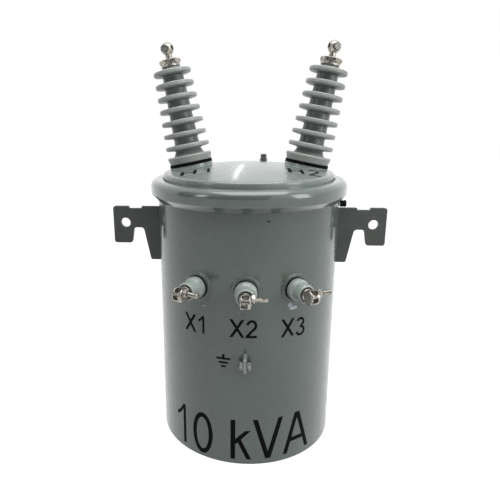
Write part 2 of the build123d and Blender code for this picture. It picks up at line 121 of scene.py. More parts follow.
class Shading:
    """A material's node tree, with short calls for the nodes that every finish here is made of."""

    def __init__(self, name):
        self.material = bpy.data.materials.new(name)
        self.material.use_nodes = True
        self.tree = self.material.node_tree
        self.shader = self.tree.nodes["Principled BSDF"]
        self.place = self.node("ShaderNodeTexCoord").outputs["Object"]

    def node(self, kind, **settings):
        made = self.tree.nodes.new(kind)
        for key, value in settings.items():
            setattr(made, key, value)
        return made

    def fill(self, socket, value):
        """Links an output to a socket, or sets the socket's own value."""
        if isinstance(value, bpy.types.NodeSocket):
            self.tree.links.new(value, socket)
        else:
            socket.default_value = value

    def set(self, **values):
        for key, value in values.items():
            self.fill(self.shader.inputs[key.replace("_", " ")], value)

    def noise(self, scale, detail=2.0, stretch=(1, 1, 1), rough=0.5):
        mapping = self.node("ShaderNodeMapping")
        self.fill(mapping.inputs["Vector"], self.place)
        mapping.inputs["Scale"].default_value = stretch
        noise = self.node("ShaderNodeTexNoise")
        self.fill(noise.inputs["Vector"], mapping.outputs["Vector"])
        noise.inputs["Scale"].default_value = scale
        noise.inputs["Detail"].default_value = detail
        noise.inputs["Roughness"].default_value = rough
        return noise.outputs["Fac"]

    def steps(self, factor, low, high, from_value=0.0, to_value=1.0):
        """Maps a factor between low and high onto a smooth rise between two values."""
        mapped = self.node("ShaderNodeMapRange", interpolation_type="SMOOTHSTEP")
        self.fill(mapped.inputs["Value"], factor)
        mapped.inputs["From Min"].default_value = low
        mapped.inputs["From Max"].default_value = high
        mapped.inputs["To Min"].default_value = from_value
        mapped.inputs["To Max"].default_value = to_value
        return mapped.outputs["Result"]

    def spread(self, noise, from_value, to_value):
        """Maps the range that most of a noise lies in onto a rise between two values."""
        return self.steps(noise, 0.3, 0.7, from_value, to_value)

    def mix(self, factor, first, second):
        mixed = self.node("ShaderNodeMix", data_type="RGBA")
        self.fill(mixed.inputs["Factor"], factor)
        for socket, colour in ((mixed.inputs["A"], first), (mixed.inputs["B"], second)):
            linked = isinstance(colour, bpy.types.NodeSocket)
            self.fill(socket, colour if linked else (*colour, 1.0))
        return mixed.outputs["Result"]

    def add(self, first, second):
        made = self.node("ShaderNodeMath", operation="ADD")
        self.fill(made.inputs[0], first)
        self.fill(made.inputs[1], second)
        return made.outputs["Value"]

    def vector(self, operation, first, second, output="Vector"):
        made = self.node("ShaderNodeVectorMath", operation=operation)
        self.fill(made.inputs[0], first)
        self.fill(made.inputs[1], second)
        return made.outputs[output]

    def bump(self, *layers):
        """Stacks bump layers, each a height, a strength and a depth in metres."""
        normal = None
        for height, strength, depth in layers:
            bump = self.node("ShaderNodeBump")
            self.fill(bump.inputs["Height"], height)
            bump.inputs["Strength"].default_value = strength
            bump.inputs["Distance"].default_value = depth
            if normal is not None:
                self.fill(bump.inputs["Normal"], normal)
            normal = bump.outputs["Normal"]
        self.set(Normal=normal)


def paint(name, tone, shade, roughness, coat, mottle, peel):
    """Sprayed enamel: slow waves from the sheet under it, orange peel, faint runs and dirt."""
    s = Shading(name)
    drift = s.noise(7.0, 3.0)
    runs = s.noise(26.0, 3.0, (1.0, 1.0, 0.12))
    colour = s.mix(s.steps(drift, 0.35, 0.68), tone, shade)
    colour = s.mix(s.steps(runs, 0.5, 0.8, 0.0, 0.3), colour, shade)
    dust = s.noise(95.0, 5.0, rough=0.7)
    colour = s.mix(s.steps(dust, 0.55, 0.8, 0.0, mottle), colour, scaled(tone, 1.28))
    specks = s.noise(520.0, 1.0)
    colour = s.mix(s.steps(specks, 0.79, 0.84, 0.0, 0.3), colour, scaled(tone, 0.35))
    rough = s.spread(s.noise(60.0, 4.0), roughness * 0.8, roughness * 1.25)
    s.set(Base_Color=colour, Roughness=rough, Coat_Weight=coat)
    s.set(Coat_Roughness=enamel_coat_roughness, IOR=enamel_ior)
    waves = s.noise(9.0, 1.0, (1.0, 1.0, 0.45))
    s.bump((waves, 0.3, 0.004), (s.noise(420.0, 2.0), peel, 0.0003))
    return s.material


def brushed_paint(name, tone, shade):
    """The thinner, duller coat on the flat lugs, over a lightly scaled plate."""
    s = Shading(name)
    drift = s.noise(18.0, 4.0)
    colour = s.mix(s.steps(drift, 0.35, 0.65), tone, shade)
    scale = s.noise(240.0, 4.0, rough=0.7)
    colour = s.mix(s.steps(scale, 0.62, 0.78, 0.0, 0.35), colour, scaled(tone, 1.5))
    s.set(Base_Color=colour, Roughness=s.spread(scale, 0.42, 0.62))
    s.set(Coat_Weight=0.12, Coat_Roughness=0.3)
    s.bump((s.noise(30.0, 2.0), 0.25, 0.001), (scale, 0.25, 0.0002))
    return s.material


def top_axis(name):
    """Direction of a leaning top bushing, from the middle of its gasket to its line eye."""
    node = f"hv_gasket_{name}"
    low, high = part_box(node)
    return (Vector(mounts[f"wire_hole_{name}"]["pos_m"]) - (low + high) / 2).normalized()


def porcelain(name, body_painted_shade_tone, rim_painted_light_tone, inner_reach, outer_reach):
    """Grey glaze: dark on the body as painted shade between the sheds, paler on the rims of the
    sheds as painted light from above, and dusty there.
    """
    s = Shading(f"glaze_{name}")
    eye, axis = mounts[f"wire_hole_{name}"]["pos_m"], top_axis(name)
    arm = s.vector("SUBTRACT", s.place, tuple(eye))
    across = s.vector("CROSS_PRODUCT", arm, tuple(axis))
    reach = s.vector("LENGTH", across, (0, 0, 0), "Value")
    outward = s.steps(reach, inner_reach, outer_reach)
    speckle = s.noise(620.0, 4.0, rough=0.75)
    cloud = s.noise(40.0, 3.0)
    # Painted light on the rims and painted shade on the body, chosen by the distance from the axis
    rim = s.mix(s.steps(speckle, 0.45, 0.7, 0.0, 0.7), rim_painted_light_tone, scaled(rim_painted_light_tone, 1.2))
    body = s.mix(s.steps(cloud, 0.35, 0.65), body_painted_shade_tone, scaled(body_painted_shade_tone, 1.35))
    s.set(Base_Color=s.mix(outward, body, rim), Coat_Weight=0.2, Coat_Roughness=0.15)
    glaze = s.steps(outward, 0.0, 1.0, 0.36, 0.44)
    s.set(Roughness=s.add(glaze, s.spread(speckle, 0.0, 0.12)))
    s.bump((cloud, 0.2, 0.0012), (speckle, 0.1, 0.00015))
    return s.material


def pale_porcelain(name):
    """Bluish white glaze with a fine peppery grain."""
    s = Shading(name)
    grain = s.noise(900.0, 3.0, rough=0.8)
    cloud = s.noise(70.0, 3.0)
    colour = s.mix(s.spread(cloud, 0.0, 1.0), (0.34, 0.39, 0.36), (0.43, 0.48, 0.45))
    colour = s.mix(s.steps(grain, 0.52, 0.7, 0.0, 0.6), colour, (0.17, 0.20, 0.18))
    s.set(Base_Color=colour, Roughness=s.spread(grain, 0.24, 0.4))
    s.set(Coat_Weight=0.4, Coat_Roughness=0.1)
    s.bump((cloud, 0.2, 0.0008), (grain, 0.12, 0.0001))
    return s.material


def cast_metal(name, tone, tarnish, roughness, amount):
    """Plated casting or forging: bright high spots, brown grey tarnish and a grainy skin."""
    s = Shading(name)
    patch = s.noise(150.0, 5.0, rough=0.65)
    grain = s.noise(1500.0, 3.0)
    colour = s.mix(s.steps(patch, 0.42, 0.72, 0.0, amount), tone, tarnish)
    s.set(Base_Color=colour, Metallic=1.0)
    worn = s.steps(patch, 0.35, 0.7, roughness, roughness + 0.22)
    s.set(Roughness=s.add(worn, s.spread(grain, 0.0, 0.08)))
    s.bump((patch, 0.25, 0.0004), (grain, 0.15, 0.00008))
    return s.material


def dull_black(name, tone, roughness):
    """Rubber or moulded plastic, with a slight bloom."""
    s = Shading(name)
    bloom = s.noise(130.0, 4.0)
    dusty = tuple(channel * 2.2 + 0.002 for channel in tone)
    colour = s.mix(s.steps(bloom, 0.4, 0.75), tone, dusty)
    s.set(Base_Color=colour, Roughness=s.spread(bloom, roughness, roughness + 0.2))
    s.set(Specular_IOR_Level=black_specular)
    s.bump((s.noise(900.0, 2.0), 0.2, 0.00012), (bloom, 0.1, 0.0003))
    return s.material


def marking_ink(name):
    """Stencilled black enamel, a little thin and streaked at places."""
    s = Shading(name)
    wear = s.noise(180.0, 5.0, rough=0.7)
    thin = s.steps(wear, 0.52, 0.82, 0.0, 0.5)
    colour = s.mix(thin, (0.004, 0.005, 0.004), (0.014, 0.017, 0.015))
    s.set(Base_Color=colour, Roughness=s.spread(wear, 0.5, 0.65))
    s.set(Specular_IOR_Level=ink_specular)
    s.bump((s.noise(420.0, 2.0), 0.12, 0.0003), (wear, 0.1, 0.0001))
    return s.material


def chipped_enamel_painted_highlight(name):
    """A bright drip where the paint was knocked and touched up in blue and white; its white is
    partly a painted highlight.
    """
    s = Shading(name)
    patch = s.noise(420.0, 3.0)
    colour = s.mix(s.steps(patch, 0.4, 0.6), (0.20, 0.28, 0.36), (0.80, 0.86, 0.90))
    s.set(Base_Color=colour, Roughness=s.spread(patch, 0.12, 0.3))
    s.set(Coat_Weight=1.0, Coat_Roughness=0.04)
    s.bump((patch, 0.3, 0.0003), (s.noise(1200.0), 0.1, 0.0001))
    return s.material


tank_paint = paint(
    "tank_enamel", (0.106, 0.135, 0.118), (0.092, 0.117, 0.103),
    roughness=0.25, coat=0.5, mottle=0.05, peel=0.02,
)
# The cover is in the tank's enamel; its paler tone is painted light, for the overhead light on its
# top
cover_paint_painted_light = paint(
    "cover_enamel_painted_light", (0.235, 0.270, 0.258), (0.205, 0.238, 0.228),
    roughness=0.26, coat=0.5, mottle=0.08, peel=0.01,
)
band_paint = paint(
    "band_enamel", (0.145, 0.182, 0.166), (0.120, 0.152, 0.139),
    roughness=0.17, coat=0.8, mottle=0.15, peel=0.03,
)
# The earth lug's pale enamel is partly worn paint and partly a painted highlight on its lit edge
plate_paint_worn_and_painted_highlight = paint(
    "plate_enamel_worn_and_painted_highlight", (0.40, 0.44, 0.41), (0.26, 0.29, 0.27),
    roughness=0.3, coat=0.4, mottle=0.5, peel=0.06,
)
lug_paint = brushed_paint("lug_enamel", (0.080, 0.088, 0.078), (0.066, 0.072, 0.066))

# Tones of the grey porcelain: painted shade on the body and painted light on the rims of the sheds,
# and how far from its axis it changes from one to the other
shed_body_painted_shade_tone, shed_rim_painted_light_tone = (0.138, 0.152, 0.150), (0.37, 0.385, 0.365)
shed_inner_reach, shed_outer_reach = 0.0255, 0.031
grey_porcelain = {
    name: porcelain(name, shed_body_painted_shade_tone, shed_rim_painted_light_tone, shed_inner_reach, shed_outer_reach)
    for name in top_bushings
}
white_porcelain = pale_porcelain("pale_glaze")

# Each metal's bright tone, its tarnish, its roughness and how much of it is tarnished
tinned = cast_metal("tinned_casting", (0.42, 0.40, 0.36), (0.06, 0.055, 0.045), 0.26, 0.95)
line_metal = cast_metal("line_eye_plate", (0.48, 0.46, 0.41), (0.14, 0.12, 0.09), 0.24, 0.85)
nickel = cast_metal("nickel_plate", (0.40, 0.38, 0.34), (0.10, 0.085, 0.065), 0.24, 0.9)
zinc = cast_metal("zinc_plate", (0.30, 0.31, 0.30), (0.08, 0.08, 0.075), 0.26, 0.9)
earth_metal = cast_metal("earth_screw_plate", (0.26, 0.26, 0.25), (0.035, 0.034, 0.03), 0.16, 0.95)
dull_steel = cast_metal("weathered_steel", (0.24, 0.24, 0.23), (0.10, 0.10, 0.09), 0.42, 0.8)
rubber = dull_black("gasket_rubber", (0.003, 0.003, 0.003), 0.6)
plastic = dull_black("valve_plastic", (0.010, 0.010, 0.011), 0.4)
ink = marking_ink("stencil_ink")
# Touched-up enamel whose white is partly a painted highlight
chip_painted_highlight = chipped_enamel_painted_highlight("chipped_enamel_painted_highlight")


def finish_node(name, material):
    data = nodes[name].data
    data.materials.clear()
    data.materials.append(material)


# Mesh building

# How finely things are cut
washer_segments = 48
hex_segments = 96
thread_segments = 28
thread_steps_per_turn = 8
shank_segments = 32
knob_segments = 144
plug_segments = 112
spot_segments = 24
weld_segments = 10
boss_weld_steps = 150
valve_weld_steps = 60

# Angles in degrees under which an edge is shaded smooth
ink_smooth = 30.0
piece_smooth = 40.0
knob_smooth = 50.0
weld_smooth = 60.0
spot_smooth = 80.0


def turns(count):
    return [2 * math.pi * k / count for k in range(count)]


def mesh_of(name, bm):
    """Turns a bmesh into a mesh and frees it."""
    mesh = bpy.data.meshes.new(name)
    bm.to_mesh(mesh)
    bm.free()
    return mesh


def new_piece(name, bm, material, smooth=piece_smooth):
    """Makes a piece of a bmesh that rides with the tank, smooth across edges under an angle."""
    bmesh.ops.recalc_face_normals(bm, faces=bm.faces)
    for edge in bm.edges:
        meets = len(edge.link_faces) == 2
        edge.smooth = meets and edge.calc_face_angle(0.0) < math.radians(smooth)
    for face in bm.faces:
        face.smooth = True
    mesh = mesh_of(name, bm)
    mesh.materials.append(material)
    piece = new_object(name, mesh)
    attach(piece, "root")
    return piece


def skin(bm, rings, closed=False):
    """Joins rings of points into a capped tube or, if closed, into a torus."""
    made = [[bm.verts.new(point) for point in ring] for ring in rings]
    count = len(made[0])
    pairs = list(zip(made, made[1:])) + ([(made[-1], made[0])] if closed else [])
    for first, second in pairs:
        for i in range(count):
            j = (i + 1) % count
            bm.faces.new((first[i], first[j], second[j], second[i]))
    if not closed:
        bm.faces.new(list(reversed(made[0])))
        bm.faces.new(made[-1])


def axes_of(out, right=None):
    """An axis and two directions across it, the first as near to right as the axis allows."""
    out = Vector(out).normalized()
    if right is None:
        right = z_axis if abs(out.z) < 0.9 else x_axis
    guess = Vector(right)
    across = (guess - out * guess.dot(out)).normalized()
    return out, across, out.cross(across)


def lathe(bm, origin, out, profile, segments, right=None, reach=None):
    """Turns (radius, along) points about an axis. reach(angle, radius, along) gives other radii."""
    out, across, up = axes_of(out, right)
    least = 1e-6
    rings = []
    for radius, along in profile:
        ring = []
        for angle in turns(segments):
            size = reach(angle, radius, along) if reach else radius
            side = across * math.cos(angle) + up * math.sin(angle)
            ring.append(Vector(origin) + out * along + side * max(size, least))
        rings.append(ring)
    skin(bm, rings)


def hexagon_reach(across_flats, chamfer, low, high):
    """A hexagon's radius at an angle, cut back to a cone at both ends as on a turned nut."""
    corner = across_flats / 2 / math.cos(math.radians(30))
    sixth = math.radians(60)
    cone = 2.2

    def reach(angle, radius, along):
        if not radius:
            return 0.0
        turned = (angle % sixth) - sixth / 2
        flat = across_flats / 2 / math.cos(turned)
        end = min(along - low, high - along)
        return min(flat * radius, corner - chamfer + cone * end)

    return reach


def hex_solid(bm, origin, out, across_flats, low, high, right=None):
    chamfer = across_flats * 0.055
    steps = 5
    inset = [chamfer * k / steps for k in range(steps + 1)]
    along = [low + d for d in inset] + [high - d for d in reversed(inset)]
    profile = [(0.0, low)] + [(1.0, a) for a in along] + [(0.0, high)]
    reach = hexagon_reach(across_flats, chamfer, low, high)
    lathe(bm, origin, out, profile, hex_segments, right, reach)


def threaded_rod(bm, origin, out, radius, pitch, low, high):
    """A screw with a real helix: its radius depends on the turn and the height together."""
    count = max(8, int((high - low) / pitch * thread_steps_per_turn))
    depth = pitch * 0.54
    groove_share, tip_slope, tip_flat = 0.62, 1.2, 0.1 * mm

    def reach(angle, size, along):
        if size <= 0:
            return 0.0
        phase = (along / pitch - angle / (2 * math.pi)) % 1.0
        groove = depth * (1 - abs(2 * phase - 1))
        end = min(along - low, high - along)
        return min(radius - groove * groove_share, radius - depth + tip_slope * end + tip_flat)

    profile = [(0.0, low)]
    profile += [(radius, low + (high - low) * k / count) for k in range(count + 1)]
    profile += [(0.0, high)]
    lathe(bm, origin, out, profile, thread_segments, None, reach)


def washer(bm, origin, out, inner, outer, low, high):
    """A flat ring with bevelled outer edges."""
    out, across, up = axes_of(out)
    bend = (high - low) * 0.3
    section = [(inner, low), (outer - bend, low), (outer, low + bend)]
    section += [(outer, high - bend), (outer - bend, high), (inner, high)]
    rings = []
    for angle in turns(washer_segments):
        side = across * math.cos(angle) + up * math.sin(angle)
        rings.append([Vector(origin) + out * along + side * radius for radius, along in section])
    skin(bm, rings, closed=True)


def wobble(*seeds):
    """A repeatable uneven number from 0 to 1."""
    return math.sin(sum(s * f for s, f in zip(seeds, (12.9898, 78.233)))) * 43758.5453 % 1.0


def weld_bead(bm, points, radius, seed, closed=False):
    """A weld run: a low round bead whose ripples follow each other along the joint."""
    count = len(points)
    rings = []
    for k, (point, normal) in enumerate(points):
        after = points[(k + 1) % count if closed else min(k + 1, count - 1)][0]
        before = points[k - 1 if closed else max(k - 1, 0)][0]
        along = (after - before).normalized()
        normal = (normal - along * normal.dot(along)).normalized()
        side = along.cross(normal)
        ripple = 0.86 + 0.14 * abs(math.sin(k * 1.05)) + 0.1 * (wobble(k, seed) - 0.5)
        if not closed:
            ripple *= min(1.0, 0.35 + 0.3 * min(k, count - 1 - k))
        ring = []
        for angle in turns(weld_segments):
            outward = normal * math.sin(angle) * radius * ripple
            sideways = side * math.cos(angle) * radius * ripple
            ring.append(point + outward + sideways)
        rings.append(ring)
    skin(bm, rings, closed=closed)


# Lettering: strokes are lists of pairs of points in millimetres, one pair for each station

ink_height = 0.22 * mm
stroke_rise = 0.012  # mm, by which a stroke lies over the one before it


def on_wall(u, v, lift):
    """A point on the tank from a distance round it and a height in mm, and a lift in metres."""
    angle = u * mm / tank_radius
    radius = tank_radius + lift
    return Vector((radius * math.sin(angle), -radius * math.cos(angle), v * mm))


def tilted_wall(shift_u, shift_v, slope):
    """The wall, for a stencil that was laid on a little off its place and out of level."""
    return lambda u, v, lift: on_wall(u + shift_u, v + shift_v + slope * u, lift)


on_wall_marks = tilted_wall(0.75, -0.15, 0.0035)
on_wall_rating = tilted_wall(0.4, -0.8, 0.0126)

cover_mesh = nodes["cover"].data
cover_skin = BVHTree.FromPolygons(
    [v.co.copy() for v in cover_mesh.vertices], [tuple(p.vertices) for p in cover_mesh.polygons]
)


def on_cover(u, v, lift):
    """A point on the cover from its place in plan in mm, and a lift in metres."""
    above = Vector((u * mm, v * mm, cad_box[1][2] + 1))
    hit = cover_skin.ray_cast(above, -z_axis)[0]
    return hit + Vector((0, 0, lift))


def slant(u0, v0, u1, v1, width, stations=14):
    """A straight stroke whose ends are cut level, as a V's are. Its width is measured level."""
    half = width / 2
    line = []
    for k in range(stations + 1):
        t = k / stations
        u, v = u0 + (u1 - u0) * t, v0 + (v1 - v0) * t
        line.append(((u - half, v), (u + half, v)))
    return line


def swept(first_from, first_to, second_from, second_to, stations=12):
    """A stroke between two edges of its own, each given by its ends."""
    line = []
    for k in range(stations + 1):
        t = k / stations
        first = tuple(a + (b - a) * t for a, b in zip(first_from, first_to))
        second = tuple(a + (b - a) * t for a, b in zip(second_from, second_to))
        line.append((first, second))
    return line


def level(u0, u1, v, thickness, stations=10):
    """A level stroke with square ends."""
    line = []
    for k in range(stations + 1):
        u = u0 + (u1 - u0) * k / stations
        line.append(((u, v - thickness / 2), (u, v + thickness / 2)))
    return line


def crossbar(u0, v0, u1, v1, thickness):
    """A short stroke from one low corner to the other, with upright ends."""
    return [((u0, v0), (u0, v0 + thickness)), ((u1, v1), (u1, v1 + thickness))]


def bent(points, width):
    """A stroke along a smooth line of points, with ends cut square to it."""
    line = []
    for k, point in enumerate(points):
        after, before = points[min(k + 1, len(points) - 1)], points[max(k - 1, 0)]
        du, dv = after[0] - before[0], after[1] - before[1]
        size = math.hypot(du, dv)
        nu, nv = -dv / size * width / 2, du / size * width / 2
        line.append(((point[0] + nu, point[1] + nv), (point[0] - nu, point[1] - nv)))
    return line


def arc(cu, cv, ru, rv, start, end, stations=22):
    """Points on an ellipse between two angles in degrees, counted from the right, upwards."""
    points = []
    for k in range(stations + 1):
        angle = math.radians(start + (end - start) * k / stations)
        points.append((cu + ru * math.cos(angle), cv + rv * math.sin(angle)))
    return points


def oval(cu, cv, ru, rv, side_width, end_width, stations=56):
    """A closed oval stroke that may be heavier at its ends than at its sides."""
    line = []
    for k in range(stations + 1):
        angle = 2 * math.pi * k / stations
        c, s = math.cos(angle), math.sin(angle)
        inner = (cu + (ru - side_width) * c, cv + (rv - end_width) * s)
        line.append(((cu + ru * c, cv + rv * s), inner))
    return line


def letter_x(u0, v0, width, height, stroke):
    left, right = u0 + stroke / 2, u0 + width - stroke / 2
    top = v0 + height
    return [slant(left, v0, right, top, stroke), slant(left, top, right, v0, stroke)]


def figure_one(u_right, v0, height, stroke, flag_reach, flag_drop, stations=6):
    """A plain 1: its stem and the flag that falls away to the left of its top."""
    top = v0 + height
    stem = slant(u_right - stroke / 2, v0, u_right - stroke / 2, top, stroke)
    flag = []
    for k in range(stations + 1):
        t = k / stations
        u = u_right - stroke - flag_reach * t
        v = top - flag_drop * (1 - (1 - t) ** 1.6)
        flag.append(((u, v), (u, v - stroke * (1.5 - 0.4 * t))))
    return [stem, flag]


def stencil(name, strokes, surface, sunk=0.12 * mm):
    """Makes one piece of raised paint from strokes."""
    bm = bmesh.new()
    for order, line in enumerate(strokes):
        lift = ink_height + order * stroke_rise * mm
        rings = []
        for (u0, v0), (u1, v1) in line:
            under = [surface(u0, v0, -sunk), surface(u1, v1, -sunk)]
            rings.append(under + [surface(u1, v1, lift), surface(u0, v0, lift)])
        same = all((a - b).length < 1e-7 for a, b in zip(rings[0], rings[-1]))
        if same:
            rings.pop()
        skin(bm, rings, closed=same)
    new_piece(name, bm, ink, ink_smooth)


def add_terminal_marks():
    """X1, X2 and X3 under their bushings, and the earth mark beside its lug."""
    low, height, stroke = 262.5, 34.5, 4.9
    x_width, x_stroke = 26.8, stroke + 0.7

    one = figure_one(-78.2, low + 0.3, height, 3.9, 8.5, 8.0)
    stencil("mark_x1", letter_x(-122.6, low - 0.7, x_width, height, x_stroke) + one, on_wall_marks)

    bowl = arc(10.4, 287.6, 7.4, 8.6, 172, -38)
    two = [bent(bowl + [(8.6, 274.6), (2.4, 267.2)], stroke - 0.4), level(-0.4, 19.6, 266.0, 4.2)]
    letter = letter_x(-29.6, low + 1.9, x_width + 0.2, height, x_stroke)
    stencil("mark_x2", letter + two, on_wall_marks)

    three = [
        bent(arc(104.6, 284.6, 6.9, 7.0, 160, -80), stroke - 0.7),
        bent(arc(104.6, 268.0, 8.2, 8.0, 98, -168), stroke - 0.7),
    ]
    letter = letter_x(64.2, low - 1.6, x_width + 0.2, height, x_stroke)
    stencil("mark_x3", letter + three, on_wall_marks)

    bar = 3.6
    marks = [level(-54.0, -27.7, 220.5, bar), level(-49.6, -32.0, 212.5, bar)]
    marks += [level(-45.0, -36.2, 204.9, bar), slant(-40.8, 220.5, -40.8, 228.8, 4.6)]
    stencil("mark_earth", marks, on_wall_marks)


def add_rating():
    """The rating at the foot of the wall, in two pieces."""
    low, high = 12.0, 97.3
    marks = figure_one(-127.3, low + 0.8, high - low + 0.8, 6.8, 18.5, 21.0)
    marks.append(oval(-84.8, 53.6, 22.3, 44.8, 8.4, 9.6))
    marks.append(slant(-22.1, low - 0.8, -22.1, high - 1.2, 8.9))
    marks.append(swept((-18.4, 42.2), (11.4, 73.6), (-18.4, 54.0), (1.2, 73.6)))
    marks.append(slant(-10.6, 53.5, 8.7, low - 0.8, 8.8))
    stencil("mark_rating_left", marks, on_wall_rating)

    v_foot, a_foot, a_top = low - 0.6, low + 0.4, high + 1.0
    marks = [slant(20.0, high, 45.1, v_foot, 9.3), slant(69.6, high, 45.9, v_foot, 9.3)]
    marks += [slant(104.6, a_top, 81.1, a_foot, 8.8), slant(106.9, a_top, 133.8, a_foot, 8.8)]
    marks.append(level(88.5, 126.0, 41.2, 8.4))
    stencil("mark_rating_right", marks, on_wall_rating)


def add_cover_marks():
    """H1 and H2 on the cover, whose heights are foreshortened in the photograph."""
    leg, bar_depth, sunk = 6.4, 5.0, 0.3 * mm
    marks = [slant(-119.1, -96.0, -121.6, -65.5, leg), slant(-96.6, -93.0, -98.2, -60.0, leg)]
    marks.append(crossbar(-118.0, -80.0, -97.0, -80.5, bar_depth))
    marks.append(slant(-71.2, -91.0, -73.4, -57.5, leg - 1.2))
    marks.append([((-75.6, -58.5), (-75.6, -64.0)), ((-80.5, -66.0), (-80.5, -71.0))])
    stencil("mark_h1", marks, on_cover, sunk=sunk)

    marks = [slant(76.2, -89.5, 75.6, -52.8, leg), slant(99.2, -90.0, 97.7, -56.0, leg)]
    marks.append(crossbar(77.5, -73.5, 98.0, -73.5, bar_depth))
    bowl = arc(121.6, -57.0, 7.4, 10.5, 160, -45)
    marks.append(bent(bowl + [(118.5, -79.0), (111.5, -89.0)], 4.6))
    marks.append(crossbar(109.4, -94.5, 130.4, -92.8, 6.0))
    stencil("mark_h2", marks, on_cover, sunk=sunk)


# Small hardware

# The two screw sizes: radius, pitch and the radius of the hole in a washer
m8_radius, m8_pitch, m8_hole = 4.0 * mm, 1.25 * mm, 4.2 * mm
m10_radius, m10_pitch, m10_hole = 5.0 * mm, 1.5 * mm, 5.2 * mm


def eye_frame(name):
    """The middle of a front bushing's cable eye, the way outward from it and the way right."""
    eye = Vector(mounts[f"cable_hole_{name}"]["pos_m"])
    outward = Vector((eye.x, eye.y, 0)).normalized()
    return eye, outward, Vector((-outward.y, outward.x, 0))


def add_front_bolts():
    """The clamping screw through each cable eye, with its head and washer."""
    face, rise = 18.0 * mm / 2, 4.5 * mm
    across_flats, washer_radius = 14.0 * mm, 7.4 * mm
    under_head, over_head = face + 1.2 * mm, face + 6.9 * mm
    for name in front_bushings:
        eye, _, right = eye_frame(name)
        eye = eye + Vector((0, 0, rise))
        bm = bmesh.new()
        washer(bm, eye, right, m8_hole, washer_radius, face - 0.2 * mm, under_head)
        hex_solid(bm, eye, right, across_flats, under_head, over_head, z_axis)
        threaded_rod(bm, eye, right, m8_radius, m8_pitch, 7.5 * mm, face + 28.0 * mm)
        bolt = new_piece(f"clamp_screw_{name}", bm, nickel)
        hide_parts(f"lv_bolt_{name}")


def add_front_seals_painted_shade():
    """The black rubber ring pressed out a little round the foot of each front bushing; it is
    widened so that it is partly painted shade for the dark gap there.
    """
    boss_depth = 2.5 * mm
    bore, radius, thickness = 12.0 * mm, 21.3 * mm, 2.5 * mm
    for name in front_bushings:
        low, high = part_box(f"lv_gasket_{name}")
        _, outward, _ = eye_frame(name)
        foot = outward * (tank_radius + boss_depth) + Vector((0, 0, (low.z + high.z) / 2))
        bm = bmesh.new()
        washer(bm, foot, outward, bore, radius, 0.0, thickness)
        seal = new_piece(f"foot_seal_painted_shade_{name}", bm, rubber)
        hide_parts(f"lv_gasket_{name}")


def add_top_bolts():
    """The hexagon head that tightens each line eye, on the side that faces the front."""
    under_washer, under_head, over_head = 9.8 * mm, 11.0 * mm, 15.4 * mm
    shank_radius, shank_low, shank_high = 3.9 * mm, 5.6 * mm, 10.5 * mm
    shank = [(0, shank_low), (shank_radius, shank_low), (shank_radius, shank_high), (0, shank_high)]
    for name in top_bushings:
        mount = mounts[f"wire_hole_{name}"]
        eye, wire = Vector(mount["pos_m"]), Vector(mount["axis"])
        out = wire.cross(top_axis(name)).normalized()
        if out.y > 0:
            out = -out
        bm = bmesh.new()
        washer(bm, eye, out, 4.1 * mm, 7.6 * mm, under_washer, under_head)
        hex_solid(bm, eye, out, 12.4 * mm, under_head, over_head)
        lathe(bm, eye, out, shank, shank_segments)
        head = new_piece(f"line_screw_{name}", bm, dull_steel)
        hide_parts(f"hv_bolt_{name}")


def window_cutter(name):
    """A square-cornered tool that opens the front of a cast eye into its bore."""
    eye, outward, right = eye_frame(name)
    middle = eye + outward * 9.0 * mm - right * 1.5 * mm - Vector((0, 0, 2.0 * mm))
    w, h = 5.2, 4.6  # half its width and height at the front, in mm
    bm = bmesh.new()
    rings = []
    for depth, share in ((-8.0, 0.9), (7.0, 1.0)):
        ring = []
        for u, v in ((-w, -h), (w, -h), (w, h), (-w, h)):
            reach = outward * depth + right * u * share + Vector((0, 0, v * share))
            ring.append(middle + reach * mm)
        rings.append(ring)
    skin(bm, rings)
    bmesh.ops.recalc_face_normals(bm, faces=bm.faces)
    return new_object("window_cutter", mesh_of("window_cutter", bm))


def softened(node, name, material, voxel, passes, cutter=None):
    """A cast copy of a part: remeshed finely and relaxed, so that its edges run into each other."""
    piece = new_object(name, nodes[node].data.copy())
    if cutter:
        cut = piece.modifiers.new("window", "BOOLEAN")
        cut.operation = "DIFFERENCE"
        cut.object = cutter
        cut.solver = "EXACT"
    remesh = piece.modifiers.new("remesh", "REMESH")
    remesh.mode = "VOXEL"
    remesh.voxel_size = voxel
    smooth = piece.modifiers.new("smooth", "SMOOTH")
    smooth.factor = 0.5
    smooth.iterations = passes
    bpy.context.view_layer.update()
    evaluated = piece.evaluated_get(bpy.context.evaluated_depsgraph_get())
    mesh = bpy.data.meshes.new_from_object(evaluated)
    piece.modifiers.clear()
    piece.data = mesh
    if cutter:
        bpy.data.objects.remove(cutter)
    mesh.materials.clear()
    mesh.materials.append(material)
    mesh.shade_smooth()
    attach(piece, "root")
    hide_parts(node)


def add_castings():
    fine, coarse = 0.5 * mm, 0.6 * mm
    for name in front_bushings:
        node, piece, cutter = f"lv_terminal_{name}", f"cable_eye_{name}", window_cutter(name)
        softened(node, piece, tinned, fine, 3, cutter)
    for name in top_bushings:
        softened(f"hv_terminal_{name}", f"line_eye_{name}", line_metal, coarse, 3)
        softened(f"hv_cap_{name}", f"cap_nut_{name}", line_metal, coarse, 2)


